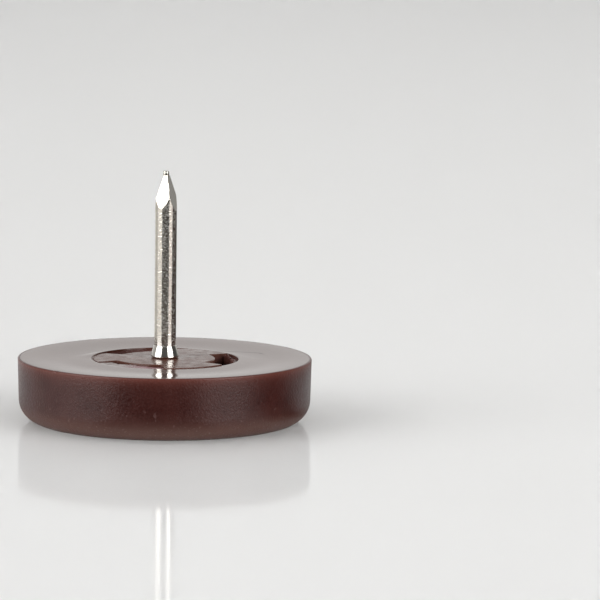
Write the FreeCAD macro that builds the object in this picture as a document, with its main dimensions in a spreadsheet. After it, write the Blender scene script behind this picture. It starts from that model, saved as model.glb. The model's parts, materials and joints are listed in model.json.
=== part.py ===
import FreeCAD, Part
import math
import os
import Sketcher

# A nail-on glide for furniture legs: a moulded plastic pad that slides on the floor,
# and a steel nail whose head is locked inside the pad.
# The origin is the centre of the slide face, on the floor. +Z runs up along the nail.

# Each driving size in millimetres or degrees, with what it measures.
SIZES = {
    "pad_diameter": (24.0, "pad across the rim of its seat face"),
    "pad_height": (5.25, "slide face to seat face"),
    "wall_draft": (1.5, "lean of the pad's wall, narrower at the slide face, degrees"),
    "slide_edge_radius": (1.9, "round between the slide face and the wall"),
    "rim_radius": (0.12, "break of the rim between the wall and the seat face"),
    "hub_diameter": (12.0, "raised hub around the nail"),
    "hub_step": (0.06, "hub above the seat face"),
    "pocket_count": (3, "pockets around the hub"),
    "core_diameter": (8.2, "round core of the hub, inside the pockets"),
    "pocket_sweep": (68.0, "angle between the two ends of a pocket, degrees"),
    "pocket_depth": (2.6, "seat face to the floor of a pocket"),
    "pocket_corner": (0.3, "round of a pocket's two inner corners"),
    "pocket_turn": (-5.0, "middle of the first pocket, from +X towards +Y, degrees"),
    "head_floor": (2.5, "slide face to the nail's head"),
    "head_diameter": (5.0, "nail's head"),
    "head_thickness": (0.9, "nail's head"),
    "root_diameter": (1.9, "nail between its head and the hub's face"),
    "neck_diameter": (2.22, "widest point of the nail's neck"),
    "neck_widest": (0.14, "hub's face to the widest point of the neck"),
    "neck_height": (0.82, "hub's face to the top of the neck"),
    "neck_round": (0.2, "round at the widest point of the neck"),
    "nail_diameter": (1.8, "nail's shank"),
    "nail_reach": (15.3, "seat face to the end of the nail"),
    "point_angle": (14.5, "each of the four flats of the point to the nail's axis, degrees"),
    "point_turn": (65.0, "first flat of the point, from +X towards +Y, degrees"),
    "tip_width": (0.54, "point across two flats at its upper end"),
    "nib_diameter": (0.5, "stub left on the point where the wire was pinched off"),
    "nib_height": (0.4, "stub on the point"),
    "nib_round": (0.15, "round at the end of the stub"),
}

POINT_FLAT_COUNT = 4
FULL_TURN_DEGREES = 360
COORDINATE_MATCH = 1e-4


def make_sheet(doc):
    sheet = doc.addObject("Spreadsheet::Sheet", "Sizes")
    for row, (name, (value, meaning)) in enumerate(SIZES.items(), start=1):
        sheet.set(f"A{row}", name)
        sheet.set(f"B{row}", str(value))
        sheet.setAlias(f"B{row}", name)
        sheet.set(f"C{row}", meaning)
    doc.recompute()
    return sheet


def origin_feature(body, role):
    return next(feature for feature in body.Origin.OriginFeatures if feature.Role == role)


def make_sketch(body, name, plane_role):
    sketch = body.newObject("Sketcher::SketchObject", name)
    sketch.AttachmentSupport = [(origin_feature(body, plane_role), "")]
    sketch.MapMode = "FlatFace"
    return sketch


def draw_outline(sketch, points):
    """Draw a closed outline of straight lines. Line number i starts at point number i."""
    count = len(points)
    for i in range(count):
        start = FreeCAD.Vector(*points[i], 0)
        end = FreeCAD.Vector(*points[(i + 1) % count], 0)
        sketch.addGeometry(Part.LineSegment(start, end))
    for i in range(count):
        sketch.addConstraint(Sketcher.Constraint("Coincident", i, 2, (i + 1) % count, 1))


def bind(sketch, name, constraint, expression):
    """Add a named dimension and drive it by an expression of the sheet's sizes."""
    index = sketch.addConstraint(constraint)
    sketch.renameConstraint(index, name)
    sketch.setExpression(f"Constraints.{name}", expression)


def revolve(body, name, sketch):
    feature = body.newObject("PartDesign::Revolution", name)
    feature.Profile = sketch
    feature.ReferenceAxis = (sketch, ["V_Axis"])
    feature.Angle = FULL_TURN_DEGREES
    body.Document.recompute()
    return feature


def repeat_round(body, name, feature):
    """Repeat a feature round the body's upright axis."""
    pattern = body.newObject("PartDesign::PolarPattern", name)
    pattern.Originals = [feature]
    pattern.Axis = (origin_feature(body, "Z_Axis"), [""])
    pattern.Angle = FULL_TURN_DEGREES
    body.Tip = pattern
    return pattern


def round_edges(body, name, chosen, size_name):
    """Round the edges of the body so far for which chosen(edge) is true."""
    base = body.Tip
    names = [f"Edge{i}" for i, edge in enumerate(base.Shape.Edges, start=1) if chosen(edge)]
    if not names:
        raise RuntimeError(f"{name} found no edges")
    feature = body.newObject("PartDesign::Fillet", name)
    feature.Base = (base, names)
    feature.setExpression("Radius", f"Sizes.{size_name}")
    body.Tip = feature
    body.Document.recompute()
    return feature


def is_ring(edge, radius, height):
    """True for a circle about the upright axis with this radius at this height."""
    if not isinstance(edge.Curve, Part.Circle):
        return False
    return (abs(edge.Curve.Radius - radius) < COORDINATE_MATCH
            and abs(edge.BoundBox.ZMin - height) < COORDINATE_MATCH
            and abs(edge.BoundBox.ZMax - height) < COORDINATE_MATCH)


def is_upright_within(edge, radius):
    """True for a straight edge along the upright axis, nearer to it than this radius."""
    if not isinstance(edge.Curve, Part.Line):
        return False
    place = edge.Vertexes[0].Point
    return (abs(abs(edge.Curve.Direction.z) - 1) < COORDINATE_MATCH
            and math.hypot(place.x, place.y) < radius - COORDINATE_MATCH)


def cut_volume(before, after):
    """Stop if a cut took nothing away."""
    if after.Shape.Volume >= before.Shape.Volume:
        raise RuntimeError(f"{after.Label} cuts nothing")


def make_pad_moulding(doc, sheet):
    """The pad as its mould forms it, still solid where the nail will be."""
    rim_radius = sheet.pad_diameter / 2
    base_radius = rim_radius - sheet.pad_height * math.tan(math.radians(sheet.wall_draft))
    hub_radius = sheet.hub_diameter / 2
    hub_top = sheet.pad_height + sheet.hub_step

    body = doc.addObject("PartDesign::Body", "pad_moulding")
    body.Placement.Rotation = FreeCAD.Rotation(FreeCAD.Vector(0, 0, 1), sheet.pocket_turn)
    body.setExpression("Placement.Rotation.Angle", "Sizes.pocket_turn * 1 deg")

    # Half section: slide face, leaning wall, seat face, step, hub face and axis.
    section = make_sketch(body, "pad_section", "XZ_Plane")
    draw_outline(section, [
        (0, 0),
        (base_radius, 0),
        (rim_radius, sheet.pad_height),
        (hub_radius, sheet.pad_height),
        (hub_radius, hub_top),
        (0, hub_top),
    ])
    slide_face, wall, seat_face, step, hub_face, axis = range(6)
    section.addConstraint(Sketcher.Constraint("Coincident", slide_face, 1, -1, 1))
    for level_line in (slide_face, seat_face, hub_face):
        section.addConstraint(Sketcher.Constraint("Horizontal", level_line))
    for upright_line in (step, axis):
        section.addConstraint(Sketcher.Constraint("Vertical", upright_line))
    bind(section, "rim", Sketcher.Constraint("DistanceX", -1, 1, wall, 2, rim_radius),
         "Sizes.pad_diameter / 2")
    bind(section, "height", Sketcher.Constraint("DistanceY", -1, 1, wall, 2, sheet.pad_height),
         "Sizes.pad_height")
    bind(section, "lean", Sketcher.Constraint("Angle", wall, math.radians(90 - sheet.wall_draft)),
         "90 deg - Sizes.wall_draft * 1 deg")
    bind(section, "hub", Sketcher.Constraint("DistanceX", -1, 1, step, 1, hub_radius),
         "Sizes.hub_diameter / 2")
    bind(section, "rise", Sketcher.Constraint("DistanceY", step, 1, step, 2, sheet.hub_step),
         "Sizes.hub_step")
    blank = revolve(body, "pad_blank", section)

    # One pocket: the core's circle inside, two radial ends, and the hub's circle outside.
    half_sweep = math.radians(sheet.pocket_sweep / 2)
    outline = make_sketch(body, "pocket_outline", "XY_Plane")
    outline.setExpression("AttachmentOffset.Base.z", "Sizes.pad_height + Sizes.hub_step")
    core_radius = sheet.core_diameter / 2
    centre = FreeCAD.Vector(0, 0, 0)
    upward = FreeCAD.Vector(0, 0, 1)
    low_turn = FreeCAD.Vector(math.cos(half_sweep), -math.sin(half_sweep), 0)
    high_turn = FreeCAD.Vector(math.cos(half_sweep), math.sin(half_sweep), 0)
    inner_circle = Part.Circle(centre, upward, core_radius)
    outer_circle = Part.Circle(centre, upward, hub_radius)
    inner_wall = outline.addGeometry(Part.ArcOfCircle(inner_circle, -half_sweep, half_sweep))
    high_end = outline.addGeometry(Part.LineSegment(high_turn * core_radius, high_turn * hub_radius))
    outer_wall = outline.addGeometry(Part.ArcOfCircle(outer_circle, -half_sweep, half_sweep))
    low_end = outline.addGeometry(Part.LineSegment(low_turn * core_radius, low_turn * hub_radius))
    outline.addConstraint(Sketcher.Constraint("Coincident", inner_wall, 1, low_end, 1))
    outline.addConstraint(Sketcher.Constraint("Coincident", inner_wall, 2, high_end, 1))
    outline.addConstraint(Sketcher.Constraint("Coincident", outer_wall, 1, low_end, 2))
    outline.addConstraint(Sketcher.Constraint("Coincident", outer_wall, 2, high_end, 2))
    outline.addConstraint(Sketcher.Constraint("Coincident", outer_wall, 3, -1, 1))
    outline.addConstraint(Sketcher.Constraint("Coincident", inner_wall, 3, -1, 1))
    outline.addConstraint(Sketcher.Constraint("PointOnObject", -1, 1, low_end))
    outline.addConstraint(Sketcher.Constraint("PointOnObject", -1, 1, high_end))
    bind(outline, "inside", Sketcher.Constraint("Radius", inner_wall, core_radius),
         "Sizes.core_diameter / 2")
    bind(outline, "outside", Sketcher.Constraint("Radius", outer_wall, hub_radius),
         "Sizes.hub_diameter / 2")
    bind(outline, "high_turn", Sketcher.Constraint("Angle", high_end, half_sweep),
         "Sizes.pocket_sweep * 1 deg / 2")
    bind(outline, "low_turn", Sketcher.Constraint("Angle", low_end, -half_sweep),
         "-Sizes.pocket_sweep * 1 deg / 2")
    pocket = body.newObject("PartDesign::Pocket", "pocket")
    pocket.Profile = outline
    pocket.setExpression("Length", "Sizes.pocket_depth + Sizes.hub_step")
    doc.recompute()
    cut_volume(blank, pocket)
    pockets = repeat_round(body, "pockets", pocket)
    pockets.setExpression("Occurrences", "Sizes.pocket_count")
    doc.recompute()

    round_edges(body, "pocket_corners", lambda edge: is_upright_within(edge, hub_radius), "pocket_corner")
    round_edges(body, "slide_edge", lambda edge: is_ring(edge, base_radius, 0), "slide_edge_radius")
    round_edges(body, "rim", lambda edge: is_ring(edge, rim_radius, sheet.pad_height), "rim_radius")
    return body


def make_nail(doc, sheet):
    """The nail, drawn from the underside of its head and lifted to its place in the pad."""
    head_radius = sheet.head_diameter / 2
    root_radius = sheet.root_diameter / 2
    neck_radius = sheet.neck_diameter / 2
    nail_radius = sheet.nail_diameter / 2
    nib_radius = sheet.nib_diameter / 2
    hub_level = sheet.pad_height + sheet.hub_step - sheet.head_floor
    end_level = sheet.pad_height + sheet.nail_reach - sheet.head_floor
    tip_level = end_level - sheet.nib_height

    body = doc.addObject("PartDesign::Body", "nail")
    body.Placement.Rotation = FreeCAD.Rotation(FreeCAD.Vector(0, 0, 1), sheet.point_turn)
    body.setExpression("Placement.Rotation.Angle", "Sizes.point_turn * 1 deg")
    body.setExpression("Placement.Base.z", "Sizes.head_floor")

    # Half section: head, root, swollen neck, shank, and the stub at the end.
    section = make_sketch(body, "nail_section", "XZ_Plane")
    draw_outline(section, [
        (0, 0),
        (head_radius, 0),
        (head_radius, sheet.head_thickness),
        (root_radius, sheet.head_thickness),
        (root_radius, hub_level),
        (neck_radius, hub_level + sheet.neck_widest),
        (nail_radius, hub_level + sheet.neck_height),
        (nail_radius, tip_level),
        (nib_radius, tip_level),
        (nib_radius, end_level),
        (0, end_level),
    ])
    (head_end, head_side, head_back, root, neck_swell, neck_taper,
     shank, tip, nib_side, nib_end, axis) = range(11)
    section.addConstraint(Sketcher.Constraint("Coincident", head_end, 1, -1, 1))
    for level_line in (head_end, head_back, tip, nib_end):
        section.addConstraint(Sketcher.Constraint("Horizontal", level_line))
    for upright_line in (head_side, root, shank, nib_side, axis):
        section.addConstraint(Sketcher.Constraint("Vertical", upright_line))
    bind(section, "head_width", Sketcher.Constraint("DistanceX", -1, 1, head_side, 1, head_radius),
         "Sizes.head_diameter / 2")
    bind(section, "head_height",
         Sketcher.Constraint("DistanceY", head_side, 1, head_side, 2, sheet.head_thickness),
         "Sizes.head_thickness")
    bind(section, "root_width", Sketcher.Constraint("DistanceX", -1, 1, root, 2, root_radius),
         "Sizes.root_diameter / 2")
    bind(section, "hub_face", Sketcher.Constraint("DistanceY", -1, 1, root, 2, hub_level),
         "Sizes.pad_height + Sizes.hub_step - Sizes.head_floor")
    bind(section, "neck_width", Sketcher.Constraint("DistanceX", -1, 1, neck_swell, 2, neck_radius),
         "Sizes.neck_diameter / 2")
    bind(section, "neck_swelling",
         Sketcher.Constraint("DistanceY", root, 2, neck_swell, 2, sheet.neck_widest),
         "Sizes.neck_widest")
    bind(section, "neck_top",
         Sketcher.Constraint("DistanceY", root, 2, neck_taper, 2, sheet.neck_height),
         "Sizes.neck_height")
    bind(section, "shank_width", Sketcher.Constraint("DistanceX", -1, 1, shank, 1, nail_radius),
         "Sizes.nail_diameter / 2")
    bind(section, "tip_face", Sketcher.Constraint("DistanceY", -1, 1, shank, 2, tip_level),
         "Sizes.pad_height + Sizes.nail_reach - Sizes.head_floor - Sizes.nib_height")
    bind(section, "nib_width", Sketcher.Constraint("DistanceX", -1, 1, nib_side, 1, nib_radius),
         "Sizes.nib_diameter / 2")
    bind(section, "nib_length",
         Sketcher.Constraint("DistanceY", nib_side, 1, nib_side, 2, sheet.nib_height),
         "Sizes.nib_height")
    wire = revolve(body, "nail_wire", section)

    # What one flat of the point takes away, drawn out past the shank's own radius.
    slope = math.tan(math.radians(sheet.point_angle))
    half_tip = sheet.tip_width / 2
    reach = sheet.nail_diameter
    waste = make_sketch(body, "point_waste", "XZ_Plane")
    draw_outline(waste, [
        (half_tip, tip_level),
        (half_tip, end_level),
        (reach, end_level),
        (reach, tip_level - (reach - half_tip) / slope),
    ])
    nib_line, top_line, outside, flat = range(4)
    for upright_line in (nib_line, outside):
        waste.addConstraint(Sketcher.Constraint("Vertical", upright_line))
    waste.addConstraint(Sketcher.Constraint("Horizontal", top_line))
    bind(waste, "half_tip", Sketcher.Constraint("DistanceX", -1, 1, nib_line, 1, half_tip),
         "Sizes.tip_width / 2")
    bind(waste, "tip_face", Sketcher.Constraint("DistanceY", -1, 1, nib_line, 1, tip_level),
         "Sizes.pad_height + Sizes.nail_reach - Sizes.head_floor - Sizes.nib_height")
    bind(waste, "nib_length",
         Sketcher.Constraint("DistanceY", nib_line, 1, nib_line, 2, sheet.nib_height),
         "Sizes.nib_height")
    bind(waste, "reach", Sketcher.Constraint("DistanceX", -1, 1, outside, 1, reach),
         "Sizes.nail_diameter")
    bind(waste, "flat_slope",
         Sketcher.Constraint("Angle", flat, math.radians(90 + sheet.point_angle)),
         "90 deg + Sizes.point_angle * 1 deg")
    flat_cut = body.newObject("PartDesign::Pocket", "point_flat")
    flat_cut.Profile = waste
    flat_cut.SideType = "Symmetric"
    flat_cut.Type = "ThroughAll"
    doc.recompute()
    cut_volume(wire, flat_cut)
    flats = repeat_round(body, "point_flats", flat_cut)
    flats.Occurrences = POINT_FLAT_COUNT
    doc.recompute()

    widest_level = hub_level + sheet.neck_widest
    round_edges(body, "neck_rounding", lambda edge: is_ring(edge, neck_radius, widest_level), "neck_round")
    round_edges(body, "nib_rounding", lambda edge: is_ring(edge, nib_radius, end_level), "nib_round")
    return body


def make_pad(doc, moulding, nail):
    """The finished pad: the plastic fills everything around the nail, with no play."""
    pad = doc.addObject("Part::Cut", "glide_pad")
    pad.Base = moulding
    pad.Tool = nail
    doc.recompute()
    cut_volume(moulding, pad)
    return pad


def check_document(doc, sub_parts):
    for item in doc.Objects:
        if "Invalid" in item.State or "Error" in item.State:
            raise RuntimeError(f"{item.Label} failed: {item.State}")
    for item in sub_parts:
        if item.Shape.isNull() or not item.Shape.isValid():
            raise RuntimeError(f"{item.Label} has no valid shape")
        if len(item.Shape.Solids) != 1:
            raise RuntimeError(f"{item.Label} is not one solid")


def write_steps(sub_parts):
    os.makedirs("parts", exist_ok=True)
    for item in sub_parts:
        item.Shape.exportStep(f"parts/{item.Label}.step")


document = FreeCAD.newDocument("furniture_glide")
sizes = make_sheet(document)
pad_moulding = make_pad_moulding(document, sizes)
steel_nail = make_nail(document, sizes)
glide_pad = make_pad(document, pad_moulding, steel_nail)
document.recompute()
check_document(document, [glide_pad, steel_nail])
write_steps([glide_pad, steel_nail])
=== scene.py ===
import json
import math

import bpy
from mathutils import Matrix, Vector, noise


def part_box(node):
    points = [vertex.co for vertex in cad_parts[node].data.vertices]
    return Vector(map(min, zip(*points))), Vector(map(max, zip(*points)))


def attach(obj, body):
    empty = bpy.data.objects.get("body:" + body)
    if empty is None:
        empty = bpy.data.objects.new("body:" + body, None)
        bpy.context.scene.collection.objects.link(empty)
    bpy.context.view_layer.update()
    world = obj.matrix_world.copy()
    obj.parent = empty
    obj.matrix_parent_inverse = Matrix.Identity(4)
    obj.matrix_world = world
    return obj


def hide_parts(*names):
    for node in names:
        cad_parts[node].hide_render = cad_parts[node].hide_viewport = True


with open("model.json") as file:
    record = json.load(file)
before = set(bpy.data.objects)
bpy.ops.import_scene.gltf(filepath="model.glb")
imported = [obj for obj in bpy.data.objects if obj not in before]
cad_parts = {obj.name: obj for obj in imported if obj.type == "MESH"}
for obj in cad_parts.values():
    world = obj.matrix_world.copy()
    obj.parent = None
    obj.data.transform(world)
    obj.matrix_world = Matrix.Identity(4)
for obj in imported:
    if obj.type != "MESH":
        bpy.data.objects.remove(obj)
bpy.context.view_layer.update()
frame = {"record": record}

# A nail-on glide for furniture legs: a moulded plastic pad with a steel nail set in it.
# Lengths are in metres and angles in degrees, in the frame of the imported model.
# A wave is a row of smooth noise along an angle: the row, the size of its features and a seed.

MM = 0.001
FULL_TURN = 360.0

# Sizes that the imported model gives
PAD_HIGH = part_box("glide_pad")[1]
NAIL_LOW, NAIL_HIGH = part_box("nail")
MOUNTS = {mount["name"]: mount for mount in frame["record"]["mounts"]}
PAD_RADIUS = PAD_HIGH.x
SEAT_LEVEL = MOUNTS["seat_face"]["pos_m"][2]
HUB_LEVEL = PAD_HIGH.z
NAIL_RADIUS = MOUNTS["nail_shank"]["dims"]["r_mm"] * MM
NAIL_END = NAIL_HIGH.z
HEAD_FLOOR = NAIL_LOW.z
HEAD_RADIUS = NAIL_HIGH.x

# The pad's section, as in the part's source
WALL_DRAFT = 1.5
SLIDE_ROUND = 1.9 * MM
RIM_ROUND = 0.12 * MM
HUB_RADIUS = 6.0 * MM
HEAD_THICKNESS = 0.9 * MM
HEAD_TOP = HEAD_FLOOR + HEAD_THICKNESS

# Pockets around the hub's round core
POCKET_COUNT = 3
POCKET_TURN = -5.0
POCKET_SWEEP = 68.0
POCKET_DEPTH = 2.6 * MM
POCKET_CORNER = 0.3 * MM
POCKET_EDGE_WAVE = (0.0, 2.6, 9.0)
CORE_RADIUS = 4.1 * MM
FLASHED_POCKET = 0
FILMED_POCKET = 2

# Rounds on the edges of the ring and the hub, and the most of an edge's height that one takes
EDGE_ROUND = 0.06 * MM
FLASHED_EDGE_ROUND = 0.12 * MM
EDGE_ROUND_SHARE = 0.6

# The seat ring sinks between the hub and the rim, as thick mouldings do
SINK_DEPTH = 0.12 * MM
SINK_AT_HUB = 0.105 * MM
SINK_AT_POCKET_BEHIND = 0.06 * MM
SINK_RADIUS = 8.0 * MM
SINK_RADIUS_BEHIND = 6.4 * MM
SINK_BEHIND_SINES = (-0.3, 0.8)
POCKET_BEHIND_TURN = 122.0
POCKET_BEHIND_COSINES = (0.5, 0.9)

# The hub settles too: highest at the nail, proud of the ring at the front right, level with it behind
HUB_SETTLE = 0.08 * MM
HUB_DOME = 0.065 * MM
HUB_LEAN = 0.05 * MM
HUB_LEAN_TURN = 145.0
HUB_WAVE = 0.010 * MM
HUB_WAVE_SIZE = 1.2 * MM
HUB_WAVE_SEED = 4.0

# A shallow groove follows the hub's edge between the pockets, and is wider and fainter where it is worn
GROOVE_WIDTH = 0.06 * MM
GROOVE_WIDTH_VARIES = 0.8
GROOVE_WIDTH_WORN = 2.2
GROOVE_DEPTH = 0.025 * MM
GROOVE_DEPTH_WORN = 0.3
GROOVE_WAVES = ((0.0, 3.0, 5.0), (0.0, 1.4, 2.0))
GROOVE_BED_START = 0.4
GROOVE_BED_RISE = 0.1
WORN_TURN = 170.0
WORN_FADE = 0.8

# What juts into a pocket starts this share of the way in, and the bed this share past its end
SHELF_START = 0.1
BED_START = 0.05

# Film of plastic that covers most of the front left pocket
FILM_DROP = 0.05 * MM
FILM_DROP_VARIES = 0.5
FILM_SINK = 0.08 * MM
FILM_EDGE = 4.8 * MM
FILM_START = -15.0
FILM_FULL = -4.0
FILM_GROWN = 16.0
FILM_TEAR = 2.0
FILM_GAP = 0.2 * MM
FILM_GAP_VARIES = 0.3
FILM_WAVE = (3.0, 4.0, 2.0)

# Ragged flash on the outer edge of the right pocket, with a gap behind it
FLASH_START = -12.0
FLASH_GROWN = 0.0
FLASH_REACH = 0.42 * MM
FLASH_REACH_VARIES = 0.6
FLASH_DIP = 0.3 * MM
FLASH_DIP_VARIES = 0.4
FLASH_DIP_WAVE = (2.0, 3.5, 6.0)
FLASH_DROP = 0.11 * MM
FLASH_CREST_WAVE = (7.0, 3.0, 1.0)
LUMP_TURN = 28.5
LUMP_HALF_ANGLE = 3.2
LUMP_HEIGHT = 0.32 * MM

# Faint ledge on the outer wall of a pocket elsewhere
LEDGE_REACH = 0.05 * MM
LEDGE_REACH_VARIES = 0.8
LEDGE_DROP = 0.35 * MM
LEDGE_DROP_VARIES = 0.6
LEDGE_WAVE = (5.0, 6.0, 3.0)

# A knock on the rim
NICK_TURN = 224.0
NICK_HALF_ANGLE = 0.6
NICK_DEPTH = 0.06 * MM

# Light that shows through the plastic under the rim fades over this depth
BAND_DEPTH = 0.36 * MM
BAND_ON_RIM_FADE = 0.2

# Heights between which the slide face's grain and the wall's dust fade in
GRAIN_FADE = (1.2 * SLIDE_ROUND, 0.1 * SLIDE_ROUND)
DUST_FADE = (2.0 * SLIDE_ROUND, 0.8 * SLIDE_ROUND)

# Depths under the seat between which painted shade darkens a pocket
POCKET_SHADE_START = 0.3 * MM
POCKET_SHADE_FULL = 1.5 * MM

# The nail above the hub
FOOT_RADIUS = 1.0 * MM
NECK_RADIUS = 1.15 * MM
NECK_WIDEST = 0.05 * MM
NECK_BULGE = 1.3
NECK_HEIGHT = 0.96 * MM
SHOULDER_RADIUS = 0.925 * MM
SHOULDER_DROP = 0.05 * MM
HAMMERED = 0.02 * MM
HAMMER_WAVE = (0.0, 35.0, 8.0)
WIRE_RIPPLE = 0.007 * MM
WIRE_RIPPLE_WIDTH = 0.28 * MM
WIRE_RIPPLE_HEIGHT = 0.12 * MM

# The four flats of the point: each one's turn, its distance from the axis at the tip, and its slope
POINT_FLATS = (
    (65.0, 0.25 * MM, 14.5),
    (155.0, 0.09 * MM, 14.5),
    (245.0, 0.23 * MM, 14.5),
    (335.0, 0.23 * MM, 13.0),
)
LEAST_FACING = 0.1
NIB_RADIUS = 0.25 * MM
NIB_HEIGHT = 0.4 * MM
NIB_ROUND = 0.15 * MM
NIB_FOOT = 0.98
TIP_LEVEL = NAIL_END - NIB_HEIGHT

# Steps of the pad's mesh: round it, then along its section
POCKET_END_STEPS = 6
POCKET_STEPS = 64
WEB_STEPS = 48
WEB_GAP = 0.02
SLIDE_SHARES = (0.1, 0.99)
SLIDE_STEPS = 12
FOOT_STEPS = 24
WALL_ROWS = (0.25, 0.5, 0.7, 0.8, 0.87, 0.92, 0.96, 0.985)
RIM_STEPS = 8
RING_STEPS = 40
LIP_STEPS = 4
SHELF_WALL_STEPS = 2
SHELF_STEPS = 5
BED_WALL_STEPS = 8
BED_STEPS = 4
CORE_STEPS = 8
HUB_STEPS = 44
PAD_CREASE = 32.0

# Steps of the nail's mesh
NAIL_TURNS = 120
SWELL_STEPS = 6
TAPER_STEPS = 10
SHANK_STEPS = 220
FLAT_STEPS = 12
NIB_STEPS = 6
NAIL_CREASE = 24.0

# Noise runs mostly between these values: the wider range keeps soft steps, the narrow one more contrast
NOISE_RANGE = (0.3, 0.7)
NARROW_RANGE = (0.35, 0.65)

# Texture of the plastic
SPARK_SIZE = 0.16 * MM
FINE_SIZE = 0.17 * MM
FINE_SHARE = 0.42
MOTTLE_SIZE = 0.7 * MM
CLOUD_SIZE = 2.0 * MM
SPECK_RANGE = (0.64, 0.74)
SPECK_SHARE = 0.7
DUST_SIZE = 0.30 * MM
DUST_RANGE = (0.76, 0.83)
DUST_SHARE = 0.32
RELIEF_DEPTH = 0.05 * MM
RELIEF_STRENGTHS = (0.56, 0.66)
POLISHED_RELIEF = 0.05
PLASTIC_IOR = 1.5

# Colours of the plastic: the wall's two tones, then what lies on it or differs from it
PLASTIC_TONES = ((0.028, 0.0042, 0.0029, 1), (0.045, 0.0092, 0.0067, 1))
GRAIN_COLOUR = (0.112, 0.053, 0.041, 1)
SPECK_COLOUR = (0.230, 0.165, 0.145, 1)
DUST_COLOUR = (0.160, 0.095, 0.090, 1)
BAND_COLOUR = (0.108, 0.029, 0.021, 1)
SEAT_COLOUR = (0.074, 0.026, 0.017, 1)
SCUFF_COLOUR = (0.012, 0.005, 0.004, 1)
POCKET_COLOUR = (0.100, 0.036, 0.028, 1)
# The film's pale mauve is partly its own colour and partly painted light: a painted reflection of the bright
# surroundings, lightened against the pocket's shade
FILM_AND_REFLECTION_COLOUR = (0.245, 0.115, 0.130, 1)
FLASH_COLOUR = (0.100, 0.040, 0.034, 1)
GROOVE_COLOUR = (0.120, 0.050, 0.040, 1)
HUB_COLOUR = (0.098, 0.038, 0.026, 1)
# Painted shade in the depths of the pockets
POCKET_SHADE_COLOUR = (0.016, 0.004, 0.003, 1)

# Roughness and sheen of the plastic
WALL_ROUGH = (0.28, 0.41)
GRAIN_ROUGH = 0.55
SEAT_ROUGH = (0.08, 0.13)
SCUFF_ROUGH = 0.45
FILM_ROUGH = 0.26
GROOVE_ROUGH = 0.5
HUB_ROUGH = (0.20, 0.36)
WALL_SHEEN = (0.345, 0.385)
SEAT_SHEEN = 0.275
FILM_SHEEN = 0.2
GROOVE_SHEEN = 0.15
HUB_SHEEN = 0.245

# A wavy mark on the seat ring. Its turns are in radians: where it starts, bends in and ends
SCUFF_RADIUS = 8.45 * MM
SCUFF_TURNS = (0.26, 0.40, 0.85)
SCUFF_HALF_WIDTHS = (0.07 * MM, 0.22 * MM)
SCUFF_SWAY = 0.08 * MM
SCUFF_SWAY_SIZE = 1.5 * MM
SCUFF_SOFT_FROM = 0.3
SCUFF_SHARE = 0.45
SCUFF_START_FADE = 0.1
SCUFF_END_FADE = 0.02

# Looks of the steel. The drawn shank is a little hazy, with features squeezed along the nail
STEEL_TONES = ((0.68, 0.65, 0.60, 1), (0.80, 0.77, 0.715, 1))
STEEL_CLOUD_SIZE = 0.9 * MM
STEEL_ROUGH = (0.10, 0.14)
DRAWN_ROUGH = (0.09, 0.13)
DRAWN_SQUEEZE = (1.0, 1.0, 3.0)
PEEL_SIZE = 0.30 * MM
PEEL_DEPTH = 0.03 * MM
PEEL_STRENGTHS = (0.05, 0.35)
HAZE_SIZE = 0.19 * MM
HAZE_RANGE = (0.48, 0.62)
HAZE_METALLIC = 0.67

# The floor: a pale sheet, with a gloss that the camera sees at a grazing look
FLOOR_HALF = 3.0
FLOOR_DROP = 0.01 * MM
FLOOR_DEPTH = 24.0 * MM
FLOOR_COLOUR = (0.86, 0.86, 0.855, 1)
FLOOR_GLOSS_ROUGH = 0.08
FLOOR_GLOSS = 0.19
FLOOR_GLOSS_STEEP = 0.02
FLOOR_GLOSS_MIRRORED = 0.05
FLOOR_FACING_RANGE = (0.765, 0.825)

# Light from the horizon: azimuth from the camera's side towards +X, and its level
HORIZON = (
    (-180, 0.90), (-178, 0.84), (-150, 0.70), (-110, 0.42), (-60, 0.22), (-42, 0.09),
    (20, 0.09), (34, 0.20), (66, 0.18), (80, 0.06), (114, 0.08),
    (131, 0.32), (148, 0.68), (164, 0.88), (180, 0.90),
)
HORIZON_TINT = (1.0, 0.99, 0.972)
OVERHEAD = (0.46, 0.46, 0.46, 1)
OVERHEAD_RISE = (0.55, 0.85)

# Softboxes: name, azimuth, width and radiance
SOFTBOXES = (
    ("left_softbox", -62.0, 1.5, 4.2),
    ("right_softbox", 50.0, 1.1, 5.0),
)
SOFTBOX_ELEVATION = 21.0
SOFTBOX_DISTANCE = 1.6
SOFTBOX_HEIGHT = 1.2

# Sheets on the floor near the pad, seen in reflections alone, that paint dark reflections of shade on its
# wall: name, azimuths between which each lies, and colour
SHEET_LEVEL = 0.02 * MM
SHEET_STEPS = 16
NEAR_SHEET_ENDS = (12.5 * MM, 40.0 * MM)
NEAR_SHEETS = (
    ("front_sheet", -31, 21, (0.05, 0.05, 0.05, 1)),
    ("right_sheet", 54, 90, (0.02, 0.016, 0.014, 1)),
)

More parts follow.
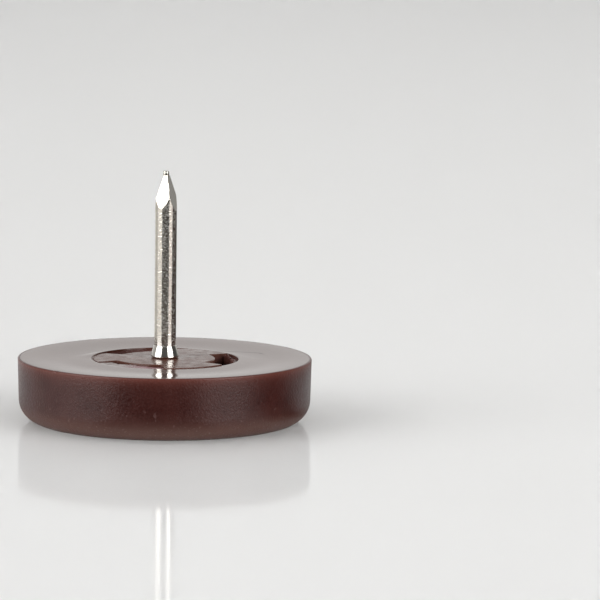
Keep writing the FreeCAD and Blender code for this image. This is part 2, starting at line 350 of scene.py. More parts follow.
# Sheets further out, seen in reflections alone, that paint the nail's dark and pale reflections: azimuths of
# the lines between them at four distances from the axis
FAR_SHEET_BENDS = (41.0 * MM, 75.0 * MM, 155.0 * MM, 900.0 * MM)
LEFT_END = (-132, -132, -132, -132)
LEFT_STRIP_START = (-92, -92, -89, -89)
FRONT_START = (-40, -40, -38, -38)
FRONT_END = (31, 32, 41, 41)
RIGHT_STRIP_END = (67, 67, 76, 76)
RIGHT_END = (165, 165, 165, 165)
MID_FRONT_COLOUR = (0.105, 0.098, 0.083, 1)
FAR_FRONT_COLOUR = (0.045, 0.042, 0.038, 1)
FAR_SIDE_SHEETS = (
    ("right_strip_sheet", FRONT_END, RIGHT_STRIP_END, (0.86, 0.79, 0.75, 1)),
    ("far_right_sheet", RIGHT_STRIP_END, RIGHT_END, (0.034, 0.020, 0.016, 1)),
    ("left_strip_sheet", LEFT_STRIP_START, FRONT_START, (0.87, 0.84, 0.79, 1)),
    ("far_left_sheet", LEFT_END, LEFT_STRIP_START, (0.50, 0.48, 0.44, 1)),
)

# The photograph's view
CAMERA_DISTANCE = 340.0 * MM
CAMERA_HEIGHT = 54.33 * MM
CAMERA_YAW = 1.85
CAMERA_PITCH = 7.42
CAMERA_ROLL = -0.63
CAMERA_LENS = 252.33
CAMERA_SENSOR = 36.0
CAMERA_CLIP = 0.01


def spread(start, end, steps):
    """Evenly spaced values from start to end, both included."""
    return [start + (end - start) * i / steps for i in range(steps + 1)]


def blend(start, end, share):
    return start + (end - start) * share


def smooth_step(low, high, value):
    """0 at low, 1 at high, level at both ends."""
    share = min(max((value - low) / (high - low), 0.0), 1.0)
    return share * share * (3 - 2 * share)


def arc(centre, radius, start, end, steps):
    """Points of a round in the section plane. Degrees turn from outward towards up."""
    turns = [math.radians(turn) for turn in spread(start, end, steps)]
    return [(centre[0] + radius * math.cos(t), centre[1] + radius * math.sin(t)) for t in turns]


def line(start, end, steps):
    """Points from start towards end, without either of them."""
    shares = spread(0.0, 1.0, steps)[1:-1]
    return [(blend(start[0], end[0], s), blend(start[1], end[1], s)) for s in shares]


def ripple(x, y, size, seed):
    """Smooth random height between -1 and 1, with features of about this size."""
    return noise.noise(Vector((x / size, y / size, seed)))


def wave(angle, kind):
    """Smooth random value between -1 and 1 along an angle."""
    row, size, seed = kind
    return ripple(angle, row, size, seed)


def skin_round(name, angles, profiles, start_height, end_height):
    """A closed mesh through profiles that go round the upright axis.

    Each profile has the same number of (radius, height) points and runs from the lower
    point on the axis to the upper one, outside first.
    """
    rows = len(profiles[0])
    turns = len(angles)
    points = []
    for angle, profile in zip(angles, profiles):
        across = math.cos(math.radians(angle))
        along = math.sin(math.radians(angle))
        points += [(radius * across, radius * along, height) for radius, height in profile]
    start = len(points)
    end = start + 1
    points += [(0.0, 0.0, start_height), (0.0, 0.0, end_height)]
    faces = []
    for i in range(turns):
        here = i * rows
        there = (i + 1) % turns * rows
        faces.append((start, there, here))
        for j in range(rows - 1):
            faces.append((here + j, there + j, there + j + 1, here + j + 1))
        faces.append((end, here + rows - 1, there + rows - 1))
    mesh = bpy.data.meshes.new(name)
    mesh.from_pydata(points, [], faces)
    mesh.validate()
    piece = bpy.data.objects.new(name, mesh)
    bpy.context.scene.collection.objects.link(piece)
    return piece


def shade(piece, crease):
    """Smooth shading, with hard edges where faces meet at more than the crease angle."""
    piece.data.polygons.foreach_set("use_smooth", [True] * len(piece.data.polygons))
    piece.data.set_sharp_from_angle(angle=math.radians(crease))


def store(piece, name, values):
    """Keep one number per point on the mesh, for the material to read."""
    layer = piece.data.attributes.new(name, "FLOAT", "POINT")
    layer.data.foreach_set("value", values)


# Shape of the pad

RIM_CENTRE = (PAD_RADIUS - RIM_ROUND, SEAT_LEVEL - RIM_ROUND)
DRAFT_SLOPE = math.tan(math.radians(WALL_DRAFT))
WALL_TOP = arc(RIM_CENTRE, RIM_ROUND, -WALL_DRAFT, 0, 1)[0]


def wall_radius(height):
    return WALL_TOP[0] - (WALL_TOP[1] - height) * DRAFT_SLOPE


FOOT_CENTRE = (wall_radius(SLIDE_ROUND) - SLIDE_ROUND / math.cos(math.radians(WALL_DRAFT)), SLIDE_ROUND)


def seat_height(radius, angle):
    """The seat ring, sunk most between the hub and the rim, with a longer slope behind."""
    behind = smooth_step(*SINK_BEHIND_SINES, math.sin(math.radians(angle)))
    lowest = blend(SINK_RADIUS, SINK_RADIUS_BEHIND, behind)
    if radius > lowest:
        return SEAT_LEVEL - SINK_DEPTH * smooth_step(RIM_CENTRE[0], lowest, radius)
    at_pocket = smooth_step(*POCKET_BEHIND_COSINES, math.cos(math.radians(angle - POCKET_BEHIND_TURN)))
    at_hub = blend(SINK_AT_HUB, SINK_AT_POCKET_BEHIND, at_pocket)
    return SEAT_LEVEL - blend(at_hub, SINK_DEPTH, smooth_step(HUB_RADIUS, lowest, radius))


def hub_height(x, y):
    """The hub's face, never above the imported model's."""
    lean = math.radians(HUB_LEAN_TURN)
    outward = (x * x + y * y) / HUB_RADIUS ** 2
    behind = (x * math.cos(lean) + y * math.sin(lean)) / HUB_RADIUS
    uneven = HUB_WAVE * ripple(x, y, HUB_WAVE_SIZE, HUB_WAVE_SEED)
    return HUB_LEVEL - HUB_SETTLE - HUB_DOME * outward - HUB_LEAN * behind + uneven


def pocket_inner_radius(turn):
    """Axis to a pocket's inner wall: the core, with a round at each end of the pocket."""
    to_end = math.radians(POCKET_SWEEP / 2 - abs(turn)) * CORE_RADIUS
    into_corner = min(max(POCKET_CORNER - to_end, 0.0), POCKET_CORNER)
    return CORE_RADIUS + POCKET_CORNER - math.sqrt(POCKET_CORNER ** 2 - into_corner ** 2)


def pad_stations():
    """Angles round the pad. Each has its pocket and its turn from that pocket's middle, or None on a web."""
    half = POCKET_SWEEP / 2
    pitch = FULL_TURN / POCKET_COUNT
    corner = math.degrees(POCKET_CORNER / CORE_RADIUS)
    ends = [half - corner * share for share in spread(0.0, 1.0, POCKET_END_STEPS)]
    turns = sorted({*spread(corner - half, half - corner, POCKET_STEPS), *ends, *[-turn for turn in ends]})
    web = spread(half + WEB_GAP, pitch - half - WEB_GAP, WEB_STEPS)
    stations = []
    for pocket in range(POCKET_COUNT):
        middle = POCKET_TURN + pitch * pocket
        stations += [(middle + turn, pocket, turn) for turn in turns]
        stations += [(middle + turn, None, 0.0) for turn in web]
    return stations


def pocket_shelf(pocket, turn, inner, ring_edge):
    """What juts from a pocket's outer wall: the radius it reaches, its height at the wall and at its end."""
    ragged = wave(turn, POCKET_EDGE_WAVE)
    if pocket == FILMED_POCKET:
        cover = smooth_step(FILM_START, FILM_FULL, turn + FILM_TEAR * ragged)
        reach = blend(FILM_EDGE, inner + FILM_GAP, cover) + FILM_GAP_VARIES * FILM_GAP * ragged
        level = ring_edge - FILM_DROP * (1 + FILM_DROP_VARIES * wave(turn, FILM_WAVE))
        return reach, level, level - FILM_SINK * smooth_step(FILM_FULL, POCKET_SWEEP / 2, turn)
    if pocket == FLASHED_POCKET and turn > FLASH_START:
        grown = smooth_step(FLASH_START, FLASH_GROWN, turn)
        reach = HUB_RADIUS - LEDGE_REACH - FLASH_REACH * grown * (1 + FLASH_REACH_VARIES * ragged)
        dip = ring_edge - FLASH_DIP * (1 + FLASH_DIP_VARIES * wave(turn, FLASH_DIP_WAVE))
        lump = LUMP_HEIGHT * max(1 - abs(turn - LUMP_TURN) / LUMP_HALF_ANGLE, 0.0)
        crest = ring_edge - FLASH_DROP * (1 + wave(turn, FLASH_CREST_WAVE)) + lump
        return reach, dip, blend(dip, crest, grown)
    level = ring_edge - LEDGE_DROP * (1 + LEDGE_DROP_VARIES * wave(turn, LEDGE_WAVE))
    return HUB_RADIUS - LEDGE_REACH * (1 + LEDGE_REACH_VARIES * ragged), level, level


def worn_share(angle):
    """How worn the hub's edge is at this angle: most at the left, not at all at the right."""
    return max(math.cos(math.radians(angle - WORN_TURN)), 0.0) ** 2


def pad_profile(angle, pocket, turn):
    """The pad's section at this angle, by zone, from the slide face round to the nail's head."""
    across = math.cos(math.radians(angle))
    along = math.sin(math.radians(angle))

    def hub_at(radius):
        return hub_height(radius * across, radius * along)

    outer = HUB_RADIUS
    ring_edge = seat_height(outer, angle)
    if pocket is None:
        ragged = sum(wave(angle, kind) for kind in GROOVE_WAVES)
        worn = worn_share(angle)
        width = GROOVE_WIDTH * (1 + GROOVE_WIDTH_WORN * worn) * (1 + GROOVE_WIDTH_VARIES * ragged)
        depth = GROOVE_DEPTH * (1 + GROOVE_DEPTH_WORN * worn) * (1 + ragged)
        inner = HUB_RADIUS - width
        floor = min(ring_edge, hub_at(inner)) - depth
        reach = blend(outer, inner, GROOVE_BED_START)
        dip = crest = floor + GROOVE_BED_RISE * GROOVE_DEPTH
    else:
        inner = pocket_inner_radius(turn)
        floor = SEAT_LEVEL - POCKET_DEPTH
        reach, dip, crest = pocket_shelf(pocket, turn, inner, ring_edge)
    hub_edge = hub_at(inner)
    hub_round = FLASHED_EDGE_ROUND if pocket == FLASHED_POCKET else EDGE_ROUND
    ring_lip = min(EDGE_ROUND, EDGE_ROUND_SHARE * (ring_edge - max(dip, floor)))
    hub_lip = min(hub_round, EDGE_ROUND_SHARE * (hub_edge - floor))
    nick = NICK_DEPTH * max(1 - abs(angle - NICK_TURN) / NICK_HALF_ANGLE, 0.0)

    slide = [(FOOT_CENTRE[0] * share, 0.0) for share in spread(*SLIDE_SHARES, SLIDE_STEPS)]
    foot = arc(FOOT_CENTRE, SLIDE_ROUND, -90, -WALL_DRAFT, FOOT_STEPS)
    wall = [
        (blend(foot[-1][0], WALL_TOP[0], share), blend(foot[-1][1], WALL_TOP[1], share))
        for share in WALL_ROWS
    ]
    rim_round = arc(RIM_CENTRE, RIM_ROUND, -WALL_DRAFT, 90, RIM_STEPS)
    rim = [(radius - nick, height - nick) for radius, height in rim_round]
    ring_radii = spread(RIM_CENTRE[0], outer + ring_lip, RING_STEPS)[1:-1]
    ring = [(radius, seat_height(radius, angle)) for radius in ring_radii]
    lip_out = arc((outer + ring_lip, ring_edge - ring_lip), ring_lip, 90, 180, LIP_STEPS)
    shelf_start = (blend(outer, reach, SHELF_START), dip)
    shelf_end = (reach, crest)
    shelf = line(lip_out[-1], shelf_start, SHELF_WALL_STEPS) + [shelf_start]
    shelf += line(shelf_start, shelf_end, SHELF_STEPS) + [shelf_end]
    bed_start = (blend(reach, inner, BED_START), floor)
    bed_end = (inner, floor)
    bed = line(shelf_end, bed_start, BED_WALL_STEPS) + [bed_start]
    bed += line(bed_start, bed_end, BED_STEPS) + [bed_end]
    lip_in = arc((inner - hub_lip, hub_edge - hub_lip), hub_lip, 0, 90, LIP_STEPS)
    core = line(bed_end, lip_in[0], CORE_STEPS)
    hub_radii = spread(inner - hub_lip, FOOT_RADIUS, HUB_STEPS)[1:]
    hub = [(radius, hub_at(radius)) for radius in hub_radii]
    return {
        "slide": slide + foot,
        "wall": wall,
        "rim": rim,
        "seat": ring + lip_out,
        "film": shelf,
        "pocket": bed + core,
        "hub": lip_in + hub,
        "cavity": [(FOOT_RADIUS, HEAD_TOP), (HEAD_RADIUS, HEAD_TOP), (HEAD_RADIUS, HEAD_FLOOR)],
    }


def band_share(zone, height):
    """Light that shows through the plastic: most at the wall's top, none on the seat."""
    if zone == "wall":
        return math.exp((height - WALL_TOP[1]) / BAND_DEPTH)
    if zone == "rim":
        return min(max((SEAT_LEVEL - height) / RIM_ROUND, 0.0), 1.0) ** BAND_ON_RIM_FADE
    return 0.0


def zone_marks(zone, pocket, turn, worn):
    """What the material needs to know of a point: the zones that it belongs to, each as a share."""
    sunk = zone in ("film", "pocket")
    groove = 1 - WORN_FADE * worn if sunk and pocket is None else 0.0
    filmed = zone == "film" and pocket == FILMED_POCKET
    film = smooth_step(FILM_START, FILM_GROWN, turn) if filmed else 0.0
    seat = float(zone == "seat")
    if filmed:
        seat = 1 - film
    if groove:
        seat = 1 - groove
    return {
        "seat": seat,
        "hub": float(zone == "hub"),
        "film": film,
        "flash": float(zone == "film" and pocket == FLASHED_POCKET),
        "groove": groove,
        "pocket": float(sunk and pocket is not None and not filmed),
    }


def make_pad():
    stations = pad_stations()
    angles = [station[0] for station in stations]
    sections = [pad_profile(*station) for station in stations]
    profiles = [sum(section.values(), []) for section in sections]
    piece = skin_round("pad_moulding", angles, profiles, 0.0, HEAD_FLOOR)
    shade(piece, PAD_CREASE)
    zones = []
    marks = []
    for (angle, pocket, turn), section in zip(stations, sections):
        for zone, points in section.items():
            zones += [zone] * len(points)
            marks += [zone_marks(zone, pocket, turn, worn_share(angle))] * len(points)
    for zone in ("slide", "cavity"):
        zones.append(zone)
        marks.append(zone_marks(zone, None, 0.0, 0.0))
    for name in marks[0]:
        store(piece, name, [mark[name] for mark in marks])
    heights = [vertex.co.z for vertex in piece.data.vertices]
    store(piece, "band", [band_share(zone, height) for zone, height in zip(zones, heights)])
    fades = {
        "grain": (("slide",), *GRAIN_FADE),
        "dust": (("slide", "wall"), *DUST_FADE),
        # Painted shade, growing deeper into a pocket
        "pocket_shade": (("pocket",), SEAT_LEVEL - POCKET_SHADE_START, SEAT_LEVEL - POCKET_SHADE_FULL),
    }
    for name, (fading, none_level, full_level) in fades.items():
        store(piece, name, [
            smooth_step(none_level, full_level, height) if zone in fading else 0.0
            for zone, height in zip(zones, heights)
        ])
    return piece


# Shape of the nail

def facing_flats(angle):
    """The flats that face this angle: cosine to the middle, distance from the axis at the tip, slope."""
    flats = []
    for turn, half_tip, slope in POINT_FLATS:
        cosine = math.cos(math.radians(angle - turn))
        if cosine > LEAST_FACING:
            flats.append((cosine, half_tip, math.tan(math.radians(slope))))
    return flats


def point_radius(angle, height):
    """Axis to the nearest flat of the point at this height."""
    drop = TIP_LEVEL - height
    return min((half_tip + drop * slope) / cosine for cosine, half_tip, slope in facing_flats(angle))


def scallop_level(angle):
    """Height at which the shank runs into a flat of the point."""
    return min(
        TIP_LEVEL - (NAIL_RADIUS * cosine - half_tip) / slope
        for cosine, half_tip, slope in facing_flats(angle)
    )


def wire_radius(angle, height):
    """The shank's rippled skin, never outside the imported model's."""
    place = Vector((math.cos(math.radians(angle)), math.sin(math.radians(angle)), 0.0))
    place *= NAIL_RADIUS / WIRE_RIPPLE_WIDTH
    place.z = height / WIRE_RIPPLE_HEIGHT
    return NAIL_RADIUS - WIRE_RIPPLE * (0.5 + 0.5 * noise.noise(place))


def neck_profile(angle):
    """The swollen neck, from the hub's face up to the shank."""
    foot_level = HUB_LEVEL - HUB_SETTLE
    widest_level = HUB_LEVEL + NECK_WIDEST
    shoulder_level = HUB_LEVEL + NECK_HEIGHT - SHOULDER_DROP
    widest = NECK_RADIUS + HAMMERED * wave(angle, HAMMER_WAVE)
    points = []
    for share in spread(0.0, 1.0, SWELL_STEPS):
        radius = blend(FOOT_RADIUS, widest, math.sin(share * math.pi / 2))
        points.append((radius, blend(foot_level, widest_level, share)))
    for share in spread(0.0, 1.0, TAPER_STEPS)[1:]:
        radius = blend(widest, SHOULDER_RADIUS, share ** NECK_BULGE)
        points.append((radius, blend(widest_level, shoulder_level, share)))
    return points


def nail_profile(angle):
    """The nail's section at this angle, by zone, from its head up to the point."""
    neck_top = HUB_LEVEL + NECK_HEIGHT
    start = scallop_level(angle)
    flat_levels = spread(start, TIP_LEVEL, FLAT_STEPS)[1:]
    nib = arc((NIB_RADIUS - NIB_ROUND, NAIL_END - NIB_ROUND), NIB_ROUND, 0, 90, NIB_STEPS)
    return {
        "head": [(HEAD_RADIUS, HEAD_FLOOR), (HEAD_RADIUS, HEAD_TOP), (FOOT_RADIUS, HEAD_TOP)],
        "neck": neck_profile(angle),
        "shank": [(wire_radius(angle, height), height) for height in spread(neck_top, start, SHANK_STEPS)],
        "flat": [(max(point_radius(angle, height), NIB_RADIUS), height) for height in flat_levels],
        "nib": [(NIB_FOOT * NIB_RADIUS, TIP_LEVEL)] + nib,
    }


def make_nail():
    first_turn = POINT_FLATS[0][0]
    angles = [first_turn + turn for turn in spread(0.0, FULL_TURN, NAIL_TURNS)[:-1]]
    sections = [nail_profile(angle) for angle in angles]
    profiles = [sum(section.values(), []) for section in sections]
    piece = skin_round("nail_wire", angles, profiles, HEAD_FLOOR, NAIL_END)
    shade(piece, NAIL_CREASE)
    rows = [zone for zone, points in sections[0].items() for point in points]
    zones = rows * len(angles) + ["head", "nib"]
    store(piece, "drawn", [float(zone == "shank") for zone in zones])
    return piece


# Materials

def add_node(tree, kind, inputs=None, **settings):
    """A node with its settings, and with its inputs set to values or linked to sockets."""
    made = tree.nodes.new(kind)
    for name, value in settings.items():
        setattr(made, name, value)
    for name, value in (inputs or {}).items():
        if isinstance(value, bpy.types.NodeSocket):
            tree.links.new(value, made.inputs[name])
        else:
            made.inputs[name].default_value = value
    return made


def empty_material(name):
    made = bpy.data.materials.new(name)
    made.use_nodes = True
    made.node_tree.nodes.clear()
    return made, made.node_tree


def new_material(name):
    """A material with a Principled shader on its output."""
    made, tree = empty_material(name)
    shader = add_node(tree, "ShaderNodeBsdfPrincipled")
    add_node(tree, "ShaderNodeOutputMaterial", {"Surface": shader.outputs["BSDF"]})
    return made, tree, shader


def show_from_front(tree, front):
    """Put a shader on a material's output, for the front of its faces alone: the back is clear."""
    clear = add_node(tree, "ShaderNodeBsdfTransparent").outputs["BSDF"]
    behind = add_node(tree, "ShaderNodeNewGeometry").outputs["Backfacing"]
    both = add_node(tree, "ShaderNodeMixShader", {0: behind, 1: front, 2: clear}).outputs["Shader"]
    add_node(tree, "ShaderNodeOutputMaterial", {"Surface": both})


def noise_on(tree, place, size, detail=2.0, roughness=0.5):
    """Noise with features of about this size, in metres."""
    inputs = {"Vector": place, "Scale": 1 / size, "Detail": detail, "Roughness": roughness}
    return add_node(tree, "ShaderNodeTexNoise", inputs).outputs["Fac"]


def mapped(tree, value, low, high, to_low, to_high):
    """A value carried from one range to another, and held inside it."""
    inputs = {"Value": value, "From Min": low, "From Max": high, "To Min": to_low, "To Max": to_high}
    return add_node(tree, "ShaderNodeMapRange", inputs).outputs["Result"]


def mixed_colour(tree, share, first, second):
    return add_node(tree, "ShaderNodeMix", {0: share, 6: first, 7: second}, data_type="RGBA").outputs[2]


def mixed_value(tree, share, first, second):
    return add_node(tree, "ShaderNodeMix", {0: share, 2: first, 3: second}, data_type="FLOAT").outputs[0]


def math_node(tree, operation, first, second=0.0):
    return add_node(tree, "ShaderNodeMath", {0: first, 1: second}, operation=operation).outputs["Value"]


def stored(tree, name):
    return add_node(tree, "ShaderNodeAttribute", attribute_name=name).outputs["Fac"]


def scuff_on_ring(tree, place):
    """A fine wavy mark that curls out from the hub's edge over the seat ring."""
    start, bend, end = SCUFF_TURNS
    parts = add_node(tree, "ShaderNodeSeparateXYZ", {"Vector": place}).outputs
    level = add_node(tree, "ShaderNodeCombineXYZ", {"X": parts["X"], "Y": parts["Y"]}).outputs["Vector"]
    radius = add_node(tree, "ShaderNodeVectorMath", {0: level}, operation="LENGTH").outputs["Value"]
    turn = math_node(tree, "ARCTAN2", parts["Y"], parts["X"])
    path = mapped(tree, turn, bend, end, SCUFF_RADIUS, HUB_RADIUS)
    uneven = noise_on(tree, place, SCUFF_SWAY_SIZE)
    sway = mapped(tree, uneven, *NOISE_RANGE, -SCUFF_SWAY, SCUFF_SWAY)
    aside = math_node(tree, "SUBTRACT", math_node(tree, "SUBTRACT", radius, path), sway)
    half_width = mapped(tree, turn, start, bend, *SCUFF_HALF_WIDTHS)
    off = math_node(tree, "DIVIDE", math_node(tree, "ABSOLUTE", aside), half_width)
    mark = mapped(tree, off, SCUFF_SOFT_FROM, 1.0, SCUFF_SHARE, 0.0)
    begun = mapped(tree, turn, start, start + SCUFF_START_FADE, 0.0, 1.0)
    ended = mapped(tree, turn, end, end + SCUFF_END_FADE, 1.0, 0.0)
    return math_node(tree, "MULTIPLY", mark, math_node(tree, "MULTIPLY", begun, ended))


def pad_plastic():
    made, tree, shader = new_material("pad_plastic")
    place = add_node(tree, "ShaderNodeTexCoord").outputs["Object"]
    grain = stored(tree, "grain")
    seat = stored(tree, "seat")
    film = stored(tree, "film")
    groove = stored(tree, "groove")
    hub = stored(tree, "hub")
    spark = noise_on(tree, place, SPARK_SIZE)
    fine = noise_on(tree, place, FINE_SIZE, detail=1.0)
    mottle = noise_on(tree, place, MOTTLE_SIZE, detail=4.0, roughness=0.6)
    cloud = noise_on(tree, place, CLOUD_SIZE, detail=4.0)
    sparse = noise_on(tree, place, DUST_SIZE, detail=0.0)
    scuff = math_node(tree, "MULTIPLY", seat, scuff_on_ring(tree, place))
    speck = math_node(tree, "MULTIPLY", grain, mapped(tree, spark, *SPECK_RANGE, 0.0, SPECK_SHARE))
    dusty = mapped(tree, sparse, *DUST_RANGE, 0.0, DUST_SHARE)
    dust = math_node(tree, "MULTIPLY", stored(tree, "dust"), dusty)

    tone = mapped(tree, mixed_value(tree, FINE_SHARE, cloud, fine), *NARROW_RANGE, 0.0, 1.0)
    colour = mixed_colour(tree, tone, *PLASTIC_TONES)
    for share, other in (
        (grain, GRAIN_COLOUR),
        (speck, SPECK_COLOUR),
        (dust, DUST_COLOUR),
        (stored(tree, "band"), BAND_COLOUR),
        (seat, SEAT_COLOUR),
        (scuff, SCUFF_COLOUR),
        (stored(tree, "pocket"), POCKET_COLOUR),
        # The film's own colour with a painted reflection in it
        (film, FILM_AND_REFLECTION_COLOUR),
        (stored(tree, "flash"), FLASH_COLOUR),
        (groove, GROOVE_COLOUR),
        (hub, HUB_COLOUR),
        # Painted shade in the pockets' depths
        (stored(tree, "pocket_shade"), POCKET_SHADE_COLOUR),
    ):
        colour = mixed_colour(tree, share, colour, other)

    rough = mapped(tree, fine, *NOISE_RANGE, *WALL_ROUGH)
    for share, other in (
        (grain, GRAIN_ROUGH),
        (seat, mapped(tree, mottle, *NOISE_RANGE, *SEAT_ROUGH)),
        (scuff, SCUFF_ROUGH),
        (film, FILM_ROUGH),
        (groove, GROOVE_ROUGH),
        (hub, mapped(tree, mottle, *NARROW_RANGE, *HUB_ROUGH)),
    ):
        rough = mixed_value(tree, share, rough, other)

    sheen = mapped(tree, cloud, *NOISE_RANGE, *WALL_SHEEN)
    for share, other in ((seat, SEAT_SHEEN), (film, FILM_SHEEN), (groove, GROOVE_SHEEN), (hub, HUB_SHEEN)):
        sheen = mixed_value(tree, share, sheen, other)

    polish = mapped(tree, math_node(tree, "ADD", seat, hub), 0.0, 1.0, 1.0, POLISHED_RELIEF)
    strength = mapped(tree, grain, 0.0, 1.0, *RELIEF_STRENGTHS)
    relief = add_node(tree, "ShaderNodeBump", {
        "Strength": math_node(tree, "MULTIPLY", polish, strength),
        "Distance": RELIEF_DEPTH,
        "Height": spark,
    })
    for name, value in (
        ("Base Color", colour),
        ("Roughness", rough),
        ("Specular IOR Level", sheen),
        ("Normal", relief.outputs["Normal"]),
    ):
        tree.links.new(value, shader.inputs[name])
    shader.inputs["IOR"].default_value = PLASTIC_IOR
    return made


def nail_steel():
    made, tree, shader = new_material("nail_steel")
    place = add_node(tree, "ShaderNodeTexCoord").outputs["Object"]
    drawn = stored(tree, "drawn")
    cloud = noise_on(tree, place, STEEL_CLOUD_SIZE, detail=3.0)
    rough = mapped(tree, cloud, *NOISE_RANGE, *STEEL_ROUGH)
    rough = mixed_value(tree, drawn, rough, mapped(tree, cloud, *NOISE_RANGE, *DRAWN_ROUGH))
    squeezed = add_node(tree, "ShaderNodeVectorMath", {0: place, 1: DRAWN_SQUEEZE}, operation="MULTIPLY")
    along = squeezed.outputs["Vector"]
    hazy = noise_on(tree, along, HAZE_SIZE, roughness=0.6)
    haze = math_node(tree, "MULTIPLY", drawn, mapped(tree, hazy, *HAZE_RANGE, 0.0, 1.0))
    relief = add_node(tree, "ShaderNodeBump", {
        "Strength": mapped(tree, drawn, 0.0, 1.0, *PEEL_STRENGTHS),
        "Distance": PEEL_DEPTH,
        "Height": noise_on(tree, along, PEEL_SIZE, detail=1.0),
    })
    for name, value in (
        ("Base Color", mixed_colour(tree, cloud, *STEEL_TONES)),
        ("Metallic", mapped(tree, haze, 0.0, 1.0, 1.0, HAZE_METALLIC)),
        ("Roughness", rough),
        ("Normal", relief.outputs["Normal"]),
    ):
        tree.links.new(value, shader.inputs[name])
    return made


# Stage, lights and camera

def floor_material():
    """A pale matt sheet, with a gloss that grows towards a grazing look."""
    made, tree = empty_material("floor_sheet")
    matt = add_node(tree, "ShaderNodeSubsurfaceScattering", {
        "Color": FLOOR_COLOUR,
        "Scale": FLOOR_DEPTH,
        "Radius": (1.0, 1.0, 1.0),
    }, falloff="BURLEY").outputs["BSSRDF"]
    mirror = {"Color": (1, 1, 1, 1), "Roughness": FLOOR_GLOSS_ROUGH}
    gloss = add_node(tree, "ShaderNodeBsdfGlossy", mirror).outputs["BSDF"]
    seen = add_node(tree, "ShaderNodeLightPath").outputs["Is Camera Ray"]
    facing = add_node(tree, "ShaderNodeLayerWeight", {"Blend": 0.5}).outputs["Facing"]
    grazing = mapped(tree, facing, *FLOOR_FACING_RANGE, FLOOR_GLOSS_STEEP, FLOOR_GLOSS)
    share = mixed_value(tree, seen, FLOOR_GLOSS_MIRRORED, grazing)
    sheet = add_node(tree, "ShaderNodeMixShader", {0: share, 1: matt, 2: gloss}).outputs["Shader"]
    show_from_front(tree, sheet)
    return made


def make_floor():
    half = FLOOR_HALF
    corners = [(-half, -half), (half, -half), (half, half), (-half, half)]
    mesh = bpy.data.meshes.new("floor_sheet")
    mesh.from_pydata([(x, y, -FLOOR_DROP) for x, y in corners], [], [(0, 1, 2, 3)])
    floor = bpy.data.objects.new("floor_sheet", mesh)
    bpy.context.scene.collection.objects.link(floor)
    mesh.materials.append(floor_material())


def make_world():
    """Soft light from all round the horizon, darker towards the camera, and from above."""
    world = bpy.data.worlds.new("studio")
    world.use_nodes = True
    tree = world.node_tree
    tree.nodes.clear()
    direction = add_node(tree, "ShaderNodeTexCoord").outputs["Generated"]
    parts = add_node(tree, "ShaderNodeSeparateXYZ", {"Vector": direction}).outputs
    azimuth = math_node(tree, "ARCTAN2", parts["X"], math_node(tree, "MULTIPLY", parts["Y"], -1.0))
    share = mapped(tree, azimuth, -math.pi, math.pi, 0.0, 1.0)
    around = add_node(tree, "ShaderNodeValToRGB", {"Fac": share})
    elements = around.color_ramp.elements
    places = [turn / FULL_TURN + 0.5 for turn, level in HORIZON]
    colours = [(*[level * part for part in HORIZON_TINT], 1) for turn, level in HORIZON]
    for element, end in zip(elements, (0, -1)):
        element.position = places[end]
        element.color = colours[end]
    for place, colour in zip(places[1:-1], colours[1:-1]):
        elements.new(place).color = colour
    rise = mapped(tree, parts["Z"], *OVERHEAD_RISE, 0.0, 1.0)
    light = mixed_colour(tree, rise, around.outputs["Color"], OVERHEAD)
    shader = add_node(tree, "ShaderNodeBackground", {"Color": light}).outputs["Background"]
    add_node(tree, "ShaderNodeOutputWorld", {"Surface": shader})
    bpy.context.scene.world = world


def add_softbox(name, azimuth, width, radiance):
    """A soft lamp that faces the object. Azimuth 0 is the camera's side, and turns towards +X."""
    turn = math.radians(azimuth)
    rise = math.radians(SOFTBOX_ELEVATION)
    away = Vector((math.sin(turn) * math.cos(rise), -math.cos(turn) * math.cos(rise), math.sin(rise)))
    lamp = bpy.data.lights.new(name, "AREA")
    lamp.shape = "RECTANGLE"
    lamp.size = width
    lamp.size_y = SOFTBOX_HEIGHT
    lamp.energy = math.pi * width * SOFTBOX_HEIGHT * radiance
    made = bpy.data.objects.new(name, lamp)
    made.location = away * SOFTBOX_DISTANCE
    made.rotation_euler = away.to_track_quat("Z", "Y").to_euler()
    made.visible_camera = False
    bpy.context.scene.collection.objects.link(made)


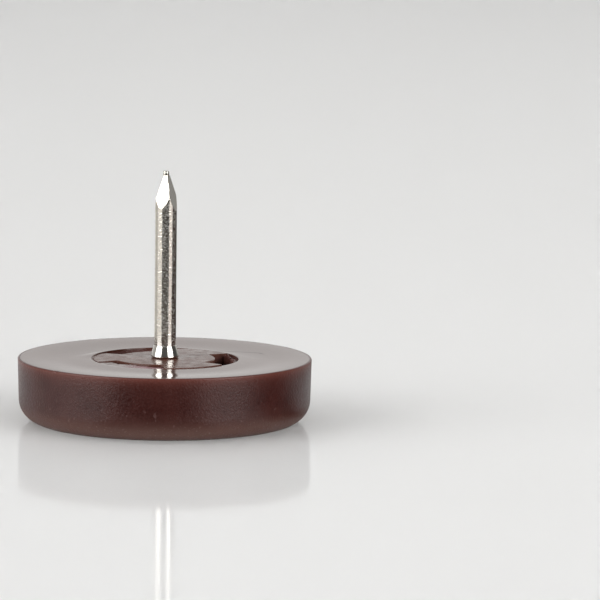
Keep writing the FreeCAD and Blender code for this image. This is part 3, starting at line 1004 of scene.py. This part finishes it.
def add_sheet(name, reach, colour):
    """A glowing sheet on the floor that shows in the object's reflections alone: a painted reflection, dark
    for shade and pale for light.

    Each row of its reach has a distance from the axis and the azimuths between which the sheet lies there.
    Azimuth 0 is the camera's side, and turns towards +X.
    """
    points = []
    for distance, first, last in reach:
        for turn in spread(first, last, SHEET_STEPS):
            across = math.sin(math.radians(turn))
            along = -math.cos(math.radians(turn))
            points.append((distance * across, distance * along, SHEET_LEVEL))
    faces = []
    for row in range(len(reach) - 1):
        for step in range(SHEET_STEPS):
            near = row * (SHEET_STEPS + 1) + step
            far = near + SHEET_STEPS + 1
            faces.append((near, far, far + 1, near + 1))
    mesh = bpy.data.meshes.new(name)
    mesh.from_pydata(points, [], faces)
    made, tree = empty_material(name)
    show_from_front(tree, add_node(tree, "ShaderNodeEmission", {"Color": colour}).outputs["Emission"])
    mesh.materials.append(made)
    sheet = bpy.data.objects.new(name, mesh)
    bpy.context.scene.collection.objects.link(sheet)
    sheet.visible_camera = False
    sheet.visible_diffuse = False
    sheet.visible_transmission = False
    sheet.visible_volume_scatter = False
    sheet.visible_shadow = False


def make_sheets():
    for name, first, last, colour in NEAR_SHEETS:
        add_sheet(name, [(distance, first, last) for distance in NEAR_SHEET_ENDS], colour)
    front = list(zip(FAR_SHEET_BENDS, FRONT_START, FRONT_END))
    add_sheet("mid_front_sheet", front[:2], MID_FRONT_COLOUR)
    add_sheet("far_front_sheet", front[1:], FAR_FRONT_COLOUR)
    for name, start, end, colour in FAR_SIDE_SHEETS:
        add_sheet(name, list(zip(FAR_SHEET_BENDS, start, end)), colour)


def make_camera():
    """The photograph's view: along +Y, a little from above, with the object left of the middle."""
    yaw = math.radians(CAMERA_YAW)
    pitch = math.radians(CAMERA_PITCH)
    roll = math.radians(CAMERA_ROLL)
    forward = Vector((math.sin(yaw) * math.cos(pitch), math.cos(yaw) * math.cos(pitch), -math.sin(pitch)))
    level = Vector((math.cos(yaw), -math.sin(yaw), 0.0))
    down = forward.cross(level)
    right = math.cos(roll) * level + math.sin(roll) * down
    up = math.sin(roll) * level - math.cos(roll) * down
    place = Matrix((right, up, -forward)).transposed().to_4x4()
    place.translation = Vector((0.0, -CAMERA_DISTANCE, CAMERA_HEIGHT))
    data = bpy.data.cameras.new("camera")
    data.sensor_width = CAMERA_SENSOR
    data.lens = CAMERA_LENS
    data.clip_start = CAMERA_CLIP
    made = bpy.data.objects.new("camera", data)
    made.matrix_world = place
    bpy.context.scene.collection.objects.link(made)
    bpy.context.scene.camera = made


def dress(piece, node, material):
    """Let a piece stand for a CAD node, with a material."""
    piece.data.materials.append(material)
    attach(piece, "root")
    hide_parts(node)


dress(make_pad(), "glide_pad", pad_plastic())
dress(make_nail(), "nail", nail_steel())
make_floor()
make_world()
for softbox in SOFTBOXES:
    add_softbox(*softbox)
make_sheets()
make_camera()
bpy.context.scene.view_settings.view_transform = "Standard"
